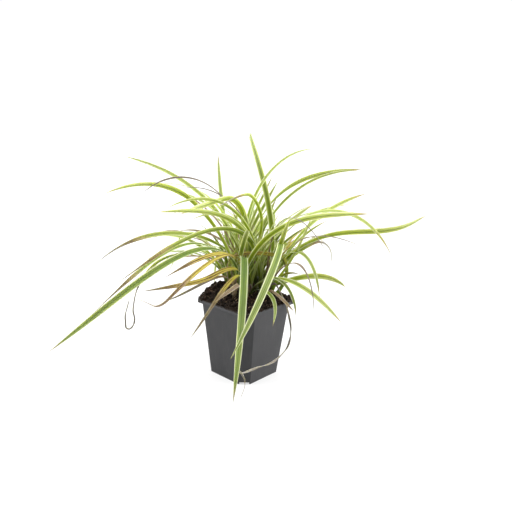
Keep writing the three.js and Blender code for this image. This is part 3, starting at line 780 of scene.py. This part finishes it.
def blade_material(
        name, middle, shade, pale, vein, margin, lines, dying, dead, ash, foot, foot_colour_and_shade_reach, roughness):
    """A blade's finish: streaks and fine veins along it, a darker midline, paler towards the tip, edges of
    another colour, and a dead tip. A blade with more edging has broader and paler edges. `lines` is how
    strong the brown lines along it are, and the foot's colour rises from the foot over the given reach: on
    the green blades it is a painted shade, dark where the crown shades the leaves' feet, and on the others
    it is the sheath's own colour."""
    material, wire = new_material(name)
    uv = wire.node("ShaderNodeUVMap", {"uv_map": "UVMap"})
    across = uv.axis("X")
    u = uv.axis("Y")
    tone = wire.attribute("tone")
    edging = wire.attribute("edging")
    run = u * wire.attribute("length")

    def pattern(scales, detail):
        """Soft spots from 0 to 1 on the blade."""
        return wire.noise(wire.point(across * scales[0], run * scales[1], tone * scales[2]), 1.0, detail)

    streaks = pattern(STREAKS, 3.0)
    patches = pattern(PATCHES, 3.0)
    veins = wire.math("SINE", across * (2 * math.pi * VEINS_ACROSS)) * 0.5 + 0.5
    from_middle = wire.math("ABSOLUTE", across - 0.5) * 2
    # The tone blends a leaf from the shade green to the middle green and sets how pale its tip grows; the     listed tones make this partly painted shade and light on single leaves.
    live = (streaks.step(0.32, 0.66) * 0.35 + tone * 0.65).blend(shade, middle)
    live = (u.step(0.30, 0.97) * (tone * 0.35 + 0.26)).blend(live, pale)
    live = (veins * VEIN_SHARE * patches.step(0.25, 0.75)).blend(live, vein)
    live = (from_middle.step(0.20, 0.04) * MIDLINE_SHARE).blend(live, shade)
    reach = from_middle + edging * 0.22 + (streaks - 0.5) * 0.16 + (patches - 0.5) * 0.10
    live = (reach.step(*MARGIN_EDGES) * wire.math("MINIMUM", edging * 1.4, 1.0)).blend(live, margin)
    brown_lines = pattern(LINES, 2.0).step(*LINE_EDGES) * lines
    live = brown_lines.blend(live, LINE_BROWN)
    # Painted shade at the foot: on the green blades and stems the foot's colour is a dark brown-green where the     crown shades them; on the other blades it is the sheath's own colour.
    live = (run.step(foot_colour_and_shade_reach, foot_colour_and_shade_reach * 0.15) * FOOT_COLOUR_AND_SHADE_SHARE).blend(live, foot)
    past = u - wire.attribute("dead") + (patches - 0.5) * 0.10 + (streaks - 0.5) * 0.06
    brown = past.step(0.01, 0.07).blend(dying, dead)
    brown = past.step(0.06, 0.20).blend(brown, ash)
    # Low-toned leaves have darker dead parts too, which carries their painted shade into the dead tip.
    brown = ((1 - tone) * 0.45).blend(brown, DEAD_DARK)
    brown = (streaks.step(0.45, 0.7) * 0.35 + brown_lines * 0.5).blend(brown, DEAD_STREAK)
    colour = past.step(-0.03, 0.03).blend(live, brown)
    dry = past.step(0.0, 0.08)
    finish_surface(wire, colour, dry * 0.3 + roughness, veins * 0.5 + streaks * 0.6, BLADE_BUMP, BLADE_GLOW)
    return material


# The green blade's foot colour and reach paint shade: about the lowest 50 mm of each green blade, and the
# stems, turn dark brown-green where the crown lies in shadow.
green_blade = blade_material(
    "green_blade", middle=(0.40, 0.49, 0.040), shade=(0.062, 0.120, 0.008), pale=(0.55, 0.58, 0.33),
    vein=(0.36, 0.44, 0.11), margin=(0.64, 0.69, 0.38), lines=0.0, dying=(0.52, 0.45, 0.22),
    dead=(0.30, 0.23, 0.14), ash=(0.36, 0.34, 0.32), foot=(0.040, 0.048, 0.012), foot_colour_and_shade_reach=0.050,
    roughness=0.5,
)

GREEN_SEED = 100
GREEN_WIDEST = 7

# The tones listed here are partly painted shade and light: leaves in shadow get low or negative tones, lit
# ones high tones.
# A row is the node, its foot's x and y, the seeds of its spare leaves, and the leaves that are placed.
GREEN_SHOOTS = [
    ("shoot_01", (-2, -8), [], [
        Leaf(250, 80, 81, 1.15, 275, -16, 7, 55, kink=(0.55, 0.06, -14, 44), dead=0.96, tone=1.0),
        Leaf(285, 104, 138, 0.38, 308, -37, 7.5, -45, dead=0.975, tone=-0.15, edging=0.5),
        Leaf(318, 99, 148, 0.46, 282, -12, 8.5, -30, dead=0.97, tone=-0.35, edging=0.48),
        Leaf(350, 88, 80, 0.53, 251, 4, 6.5, -80, dead=0.93, tone=0.75),
        Leaf(0, 59, 113, 2.07, 281, -14, 4.5, 45, dead=0.92, tone=0.6, edging=0.4),
    ]),
    ("shoot_02", (6, 2), [1576], [
        Leaf(350, 57, 90, 0.72, 168, 8, 6.5, 35),
        Leaf(350, 24, 56, 1.05, 115, -54, 4.5, 25, tone=0.1),
        Leaf(350, 48, 136, 1.8, 127, -9, 4, 40, tone=0.0),
    ]),
    ("shoot_03", (10, 15), [], [
        Leaf(280, 93, 114, 1.1, 240, -9, 4, 75),
        Leaf(285, 98, 94, 0.49, 263, -3, 5.5, 70, tone=0.95),
        Leaf(285, 91, 106, 1.1, 204, -11, 4, 60, tone=0.95),
        Leaf(290, 106, 139, 0.58, 277, -43, 6.5, 80, dead=0.78, tone=0.35),
        Leaf(120, 93, 89, 2, 100, 0, 6, 0),
    ]),
    ("shoot_04", (14, 29), [], [
        Leaf(180, 97, 99, 1.5, 271, -52, 7.5, -50, dead=0.98, tone=0.3),
        Leaf(326, 95, 142, 0.58, 293, -55, 7.5, -25, dead=1.0, tone=-0.1, edging=0.6),
        Leaf(320, 62, 22, 0.42, 160, 0, 6, 0, tone=1.0, edging=0.3),
        Leaf(345, 38, -14, 0.48, 150, -20, 6, 20, tone=1.0, edging=0.3),
        Leaf(5, 71, 51, 1.3, 193, 4, 6.5, 70, dead=0.93, tone=0.8),
        Leaf(345, 84, 146, 1.15, 180, -23, 4.5, 25),
        Leaf(20, 26, 68, 3, 112, 1, 7.5, 85, tone=1.2),
        Leaf(30, 91, 104, 0.48, 262, 4, 8, -85, kink=(0.72, 0.4, 24, 54), dead=0.95, tone=1.2),
    ]),
    ("shoot_05", (-20, 2), [2379, 1424, 866, 1386], [
        Leaf(150, 43, -4, 1, 233, -10, 6, -10, dead=0.93),
    ]),
    ("shoot_06", (-7, 7), [618], [
        Leaf(75, 99, 100, 1.75, 236, -8, 5, 30, tone=0.8),
        Leaf(205, 93, 82, 0.71, 260, 1, 6, -50, dead=0.97, tone=0.8),
        Leaf(255, 107, 31, 1.85, 262, -28, 4.5, 75, kink=(0.45, 0.35, -90, 58), dead=0.68, tone=1.3),
        Leaf(270, 89, 2, 1.05, 265, 10, 7.5, 85, kink=(0.45, 0.35, -89, 16), dead=0.96, tone=1.2),
        Leaf(100, 107, 103, 0.59, 276, -50, 8, -80, dead=0.93, tone=0.7),
    ]),
    ("shoot_07", (-1, 18), [1435, 66, 1756, 8050], [
        Leaf(50, 82, 50, 0.85, 112, 0, 4, 70),
    ]),
    ("shoot_08", (-28, -5), [653, 2019], [
        Leaf(280, 107, 135, 0.42, 263, -3, 5, -40, dead=0.76, tone=0.1),
        Leaf(80, 76, 40, 0.56, 123, 7, 4, 40),
        Leaf(70, 72, 10, 1, 162, 0, 4, 60),
        Leaf(80, 67, 14, 1, 163, 0, 5, 65),
    ]),
    ("shoot_09", (-22, 13), [2043, 1278, 1206, 1251], [
        Leaf(113, 56, 25, 1, 143, 26, 6, 0),
    ]),
    ("shoot_10", (-12, 22), [1220, 1057], [
        Leaf(255, 74, 119, 1, 240, -25, 6, -65, dead=0.74, tone=0.6),
        Leaf(45, 93, 94, 1.25, 231, -1, 4, 70),
        Leaf(80, 71, 52, 1.05, 156, 0, 6, 60),
        Leaf(250, 85, 19, 1, 109, 0, 6, 80),
    ]),
    ("shoot_11", (-3, 30), [475, 1388, 173, 253], [
        Leaf(55, 43, 151, 4, 161, -1, 6, 85, kink=(0.62, 0.12, -23, 31), dead=0.55),
    ]),
    ("shoot_12", (-35, 9), [1960, 367, 589, 1439, 1162], []),
    ("shoot_13", (-27, 26), [702, 881, 1177, 1598, 333], []),
    ("shoot_14", (-18, 33), [1042, 293, 1668, 2318, 1683], []),
]
for number, (node, root, seeds, placed) in enumerate(GREEN_SHOOTS):
    leaves = placed + [extra_leaf(seed, GREEN_WIDEST) for seed in seeds]
    shoot = leaf_piece(
        node + "_leaves", root, leaves, green_blade, GREEN_SEED + number, stem=2.5, inner=4, widest=6.0,
    )
    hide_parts(node)


# ---- Yellow shoots: old blades that have lost their green. They are yellow with brown edges and brown
# lines, and die back further from the tip than the green ones.

yellow_blade = blade_material(
    "yellow_blade", middle=(0.62, 0.53, 0.070), shade=(0.38, 0.34, 0.055), pale=(0.46, 0.36, 0.17),
    vein=(0.16, 0.065, 0.02), margin=(0.18, 0.095, 0.035), lines=0.9, dying=(0.42, 0.31, 0.15),
    dead=(0.25, 0.175, 0.10), ash=(0.24, 0.195, 0.15), foot=(0.20, 0.34, 0.04), foot_colour_and_shade_reach=0.09,
    roughness=0.58,
)

YELLOW_SEED = 200
YELLOW_WIDEST = 5
YELLOW_SHOOTS = [
    ("yellow_shoot_1", (10, -9), [], [
        Leaf(295, 91, 109, 0.63, 193, -28, 5, -60, dead=0.80, tone=0.6),
        Leaf(300, 99, 142, 0.53, 252, -48, 4.5, -40, kink=(0.84, 0.12, 72, 35), dead=0.68, tone=0.9),
        Leaf(295, 106, 115, 0.3, 200, -20, 5.5, -60, kink=(0.7, 0.2, 2, -40), dead=0.80, tone=1.0),
        Leaf(300, 106, 142, 0.4, 170, -25, 5, -40, dead=0.62, tone=0.7, edging=0.9),
    ]),
    ("yellow_shoot_2", (23, 23), [], [
        Leaf(345, 90, 86, 0.77, 76, 4, 5, -40),
    ]),
    ("yellow_shoot_3", (-6, 37), [399, 960, 952, 2406], []),
]
for number, (node, root, seeds, placed) in enumerate(YELLOW_SHOOTS):
    leaves = placed + [extra_leaf(seed, YELLOW_WIDEST) for seed in seeds]
    shoot = leaf_piece(
        node + "_leaves", root, leaves, yellow_blade, YELLOW_SEED + number,
        stem=1.8, inner=2, widest=3.4, shrink=0.3,
    )
    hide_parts(node)


# ---- Dry tufts: dead blades at the foot of the clump, tan to brown and papery. The blades of one tuft
# have shrunk to narrow ribbons where they died, and the others have kept most of their width.

dry_blade = blade_material(
    "dry_blade", middle=(0.30, 0.225, 0.14), shade=(0.15, 0.105, 0.07), pale=(0.28, 0.23, 0.175),
    vein=(0.42, 0.34, 0.24), margin=(0.38, 0.31, 0.22), lines=0.5, dying=(0.30, 0.23, 0.16),
    dead=(0.24, 0.195, 0.155), ash=(0.20, 0.18, 0.16), foot=(0.20, 0.13, 0.08), foot_colour_and_shade_reach=0.02,
    roughness=0.7,
)

DRY_SEED = 300
DRY_WIDEST = 3.4

# A row here also has the share of its width that a blade of the tuft loses where it has died.
DRY_TUFTS = [
    ("dry_tuft_1", (19, 16), [], 0.55, [
        Leaf(320, 98, 143, 1.1, 240, 23, 2.8, 30, dead=0.3),
        Leaf(335, 72, 80, 0.86, 232, 9, 2.8, 50, dead=0.5),
        Leaf(340, 52, 135, 1.95, 185, -20, 3.5, 15, dead=0.6),
        Leaf(325, 19, 26, 0.83, 110, 8, 3.5, 40),
    ]),
    ("dry_tuft_2", (-1, 2), [921], 0.0, [
        Leaf(225, 106, 121, 1.55, 191, 6, 3, -30, dead=0.4),
        Leaf(265, 91, 128, 1.6, 255, 4, 3, -50, dead=0.3),
        Leaf(230, 93, 104, 1.2, 137, 0, 3.5, -50),
    ]),
    ("dry_tuft_3", (-4, -16), [], 0.1, [
        Leaf(330, 36, 56, 1.35, 124, -60, 5, -40),
        Leaf(295, 101, 112, 0.33, 148, -31, 3.5, -70, dead=0.5),
    ]),
    ("dry_tuft_4", (-34, 23), [33, 2145, 677, 1486], 0.2, []),
]
for number, (node, root, seeds, shrink, placed) in enumerate(DRY_TUFTS):
    leaves = placed + [extra_leaf(seed, DRY_WIDEST) for seed in seeds]
    tuft = leaf_piece(
        node + "_leaves", root, leaves, dry_blade, DRY_SEED + number,
        stem=1.6, inner=2, widest=2.6, shrink=shrink,
    )
    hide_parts(node)


# ---- Loose blades: a grey strand hangs over the pot's rim and curls forward round its front corner, a grey
# thread hangs like a hairpin at the left, and an old yellow blade is bent over in the crown. Each is one
# oval section carried along its own route.

grey_blade = blade_material(
    "grey_blade", middle=(0.36, 0.335, 0.28), shade=(0.21, 0.185, 0.15), pale=(0.36, 0.335, 0.29),
    vein=(0.46, 0.41, 0.33), margin=(0.44, 0.41, 0.31), lines=0.3, dying=(0.30, 0.25, 0.19),
    dead=(0.26, 0.22, 0.18), ash=(0.24, 0.22, 0.20), foot=(0.20, 0.13, 0.08), foot_colour_and_shade_reach=0.02,
    roughness=0.7,
)

ROUTE_CUTS = 16


def smooth_route(points, count):
    """A centripetal Catmull-Rom curve through the points, cut into `count` even steps."""
    points = np.asarray(points, float)
    first = 2 * points[0] - points[1]
    last = 2 * points[-1] - points[-2]
    points = np.vstack([first, points, last])
    gaps = np.sqrt(np.linalg.norm(np.diff(points, axis=0), axis=1))
    s = np.linspace(0, 1, ROUTE_CUTS, endpoint=False)[:, None]
    line = []
    for i in range(1, len(points) - 2):
        a, b, c, d = points[i - 1:i + 3]
        before, here, after = gaps[i - 1:i + 2]
        start = ((b - a) / before - (c - a) / (before + here) + (c - b) / here) * here
        end = ((c - b) / here - (d - b) / (here + after) + (d - c) / after) * here
        line.append(b * (2 * s ** 3 - 3 * s ** 2 + 1) + start * (s ** 3 - 2 * s ** 2 + s)
                    + c * (3 * s ** 2 - 2 * s ** 3) + end * (s ** 3 - s ** 2))
    line = np.vstack([*line, points[-2]])
    run = np.concatenate([[0], np.cumsum(np.linalg.norm(np.diff(line, axis=0), axis=1))])
    even = np.linspace(0, run[-1], count + 1)
    return np.column_stack([np.interp(even, run, line[:, axis]) for axis in range(3)])


THREAD_FACING = (0.31, 0.22, 0.92)
THREAD_SIDES = 10
THREAD_NARROWING = 0.6
THREAD_TAPER = 10
THREAD_WITHERS_OVER = 0.12
THREAD_EDGING = 0.5


def thread_rings(route, wide, flat, start, twist, withers):
    """A loose blade: an oval section carried along the route, turned by `start` and then `twist` times
    more, that shrinks to a thread past the share `withers` of its length."""
    along = np.gradient(route, axis=0)
    along /= np.linalg.norm(along, axis=1, keepdims=True)
    side = np.cross(along, THREAD_FACING)
    side /= np.linalg.norm(side, axis=1, keepdims=True)
    up = np.cross(along, side)
    u = np.linspace(0, 1, len(route))[:, None]
    angle = np.linspace(0, 2 * math.pi, THREAD_SIDES, endpoint=False)[None, :]
    half = wide / 2 * (1 - THREAD_NARROWING * u ** THREAD_TAPER)
    half = half * (1 - THREAD_NARROWING * eased((u - withers) / THREAD_WITHERS_OVER))
    x = np.cos(angle) * half
    y = np.sin(angle) * np.minimum(half * flat, half)
    turn = (start + u * twist) * 2 * math.pi
    across = x * np.cos(turn) - y * np.sin(turn)
    raised = x * np.sin(turn) + y * np.cos(turn)
    rings = route[:, None] + side[:, None] * across[..., None] + up[:, None] * raised[..., None]
    uv = np.stack(np.broadcast_arrays((np.cos(angle) + 1) / 2, u), 2)
    return rings, uv


def thread_piece(name, points, steps, wide, flat, start, twist, withers, material, tone):
    """One loose blade or thread along a smooth route through the points."""
    route = smooth_route(points, steps)
    rings, uv = thread_rings(route, wide, flat, start, twist, withers)
    long = np.linalg.norm(np.diff(route, axis=0), axis=1).sum() * MM
    marks = {"tone": tone, "dead": withers, "length": long, "edging": THREAD_EDGING}
    points, faces, uv, attributes = joined([(rings, uv, marks)])
    thread = new_piece(name, points, faces, material, uv, **attributes)
    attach(thread, "root")
    return thread


CURLED_STRAND = [
    (19, 16, 98), (22, 17, 111), (30, 19, 117), (38, 18, 111), (43, 18, 105), (47, 20, 97), (50, 25, 78),
    (52, 27, 63), (53, 25, 50), (54, 19, 41), (55, 8, 36), (57, -7, 33), (59, -23, 34), (61, -40, 37),
    (64, -56, 40), (66, -68, 42), (68, -77, 45), (70, -80, 48), (72, -79, 46), (74, -77, 40), (76, -78, 35),
    (80, -84, 32), (84, -92, 29),
]
curled = thread_piece(
    "curled_strand", CURLED_STRAND, steps=150, wide=2.7, flat=0.45, start=0.0, twist=2.5, withers=0.92,
    material=grey_blade, tone=0.3,
)

HAIRPIN_THREAD = [
    (-24, -96, 154), (-36, -114, 146), (-40, -119, 138), (-44, -124, 129), (-47, -127, 120), (-49, -129, 108),
    (-50, -130, 96), (-49, -129, 88), (-50, -130, 80), (-53, -133, 75), (-55, -136, 76), (-55, -137, 84),
    (-55, -137, 92), (-53, -136, 100), (-51, -134, 110),
]
hairpin = thread_piece(
    "hairpin_thread", HAIRPIN_THREAD, steps=90, wide=1.9, flat=0.7, start=0.0, twist=1.0, withers=2.0,
    material=grey_blade, tone=0.8,
)

BENT_YELLOW_BLADE = [
    (23, 23, 97), (29, 29, 106), (35, 33, 122), (38, 30, 139), (37, 22, 151), (33, 10, 155), (25, -1, 157),
    (16, -12, 157), (9, -22, 156), (4, -29, 153), (1, -33, 146), (1, -34, 137), (1, -33, 129), (3, -32, 119),
]
bent = thread_piece(
    "bent_yellow_blade", BENT_YELLOW_BLADE, steps=110, wide=4.8, flat=0.16, start=0.2, twist=0.1,
    withers=0.74, material=yellow_blade, tone=0.7,
)


# ---- Basal scales: the papery brown remains of the first sheaths, which wrap the foot of each shoot and
# split away from it in short points.

SCALE_SEED = 41
SCALES_EACH = 3
SCALE_STRIDE = 6
SCALE_DEAD = 0.8
SCALE_EDGING = 0.5
SCALE_RANGES = [(0, 360), (70, 92), (0, 50), (1, 2), (12, 30), (-20, 20), (3.5, 6.5), (-20, 20)]

chance = np.random.default_rng(SCALE_SEED)
grown = []
for row in GREEN_SHOOTS + YELLOW_SHOOTS + DRY_TUFTS:
    root = row[1]
    for scale in drawn_leaves(chance, SCALES_EACH, SCALE_RANGES):
        rings, uv = blade(root, scale, chance)
        tone = chance.random()
        marks = {"tone": tone, "dead": SCALE_DEAD, "length": scale.long * MM, "edging": tone * SCALE_EDGING}
        grown.append((rings[::SCALE_STRIDE], uv[::SCALE_STRIDE], marks))
points, faces, uv, attributes = joined(grown)
scales = new_piece("basal_scales", points, faces, dry_blade, uv, **attributes)
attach(scales, "root")
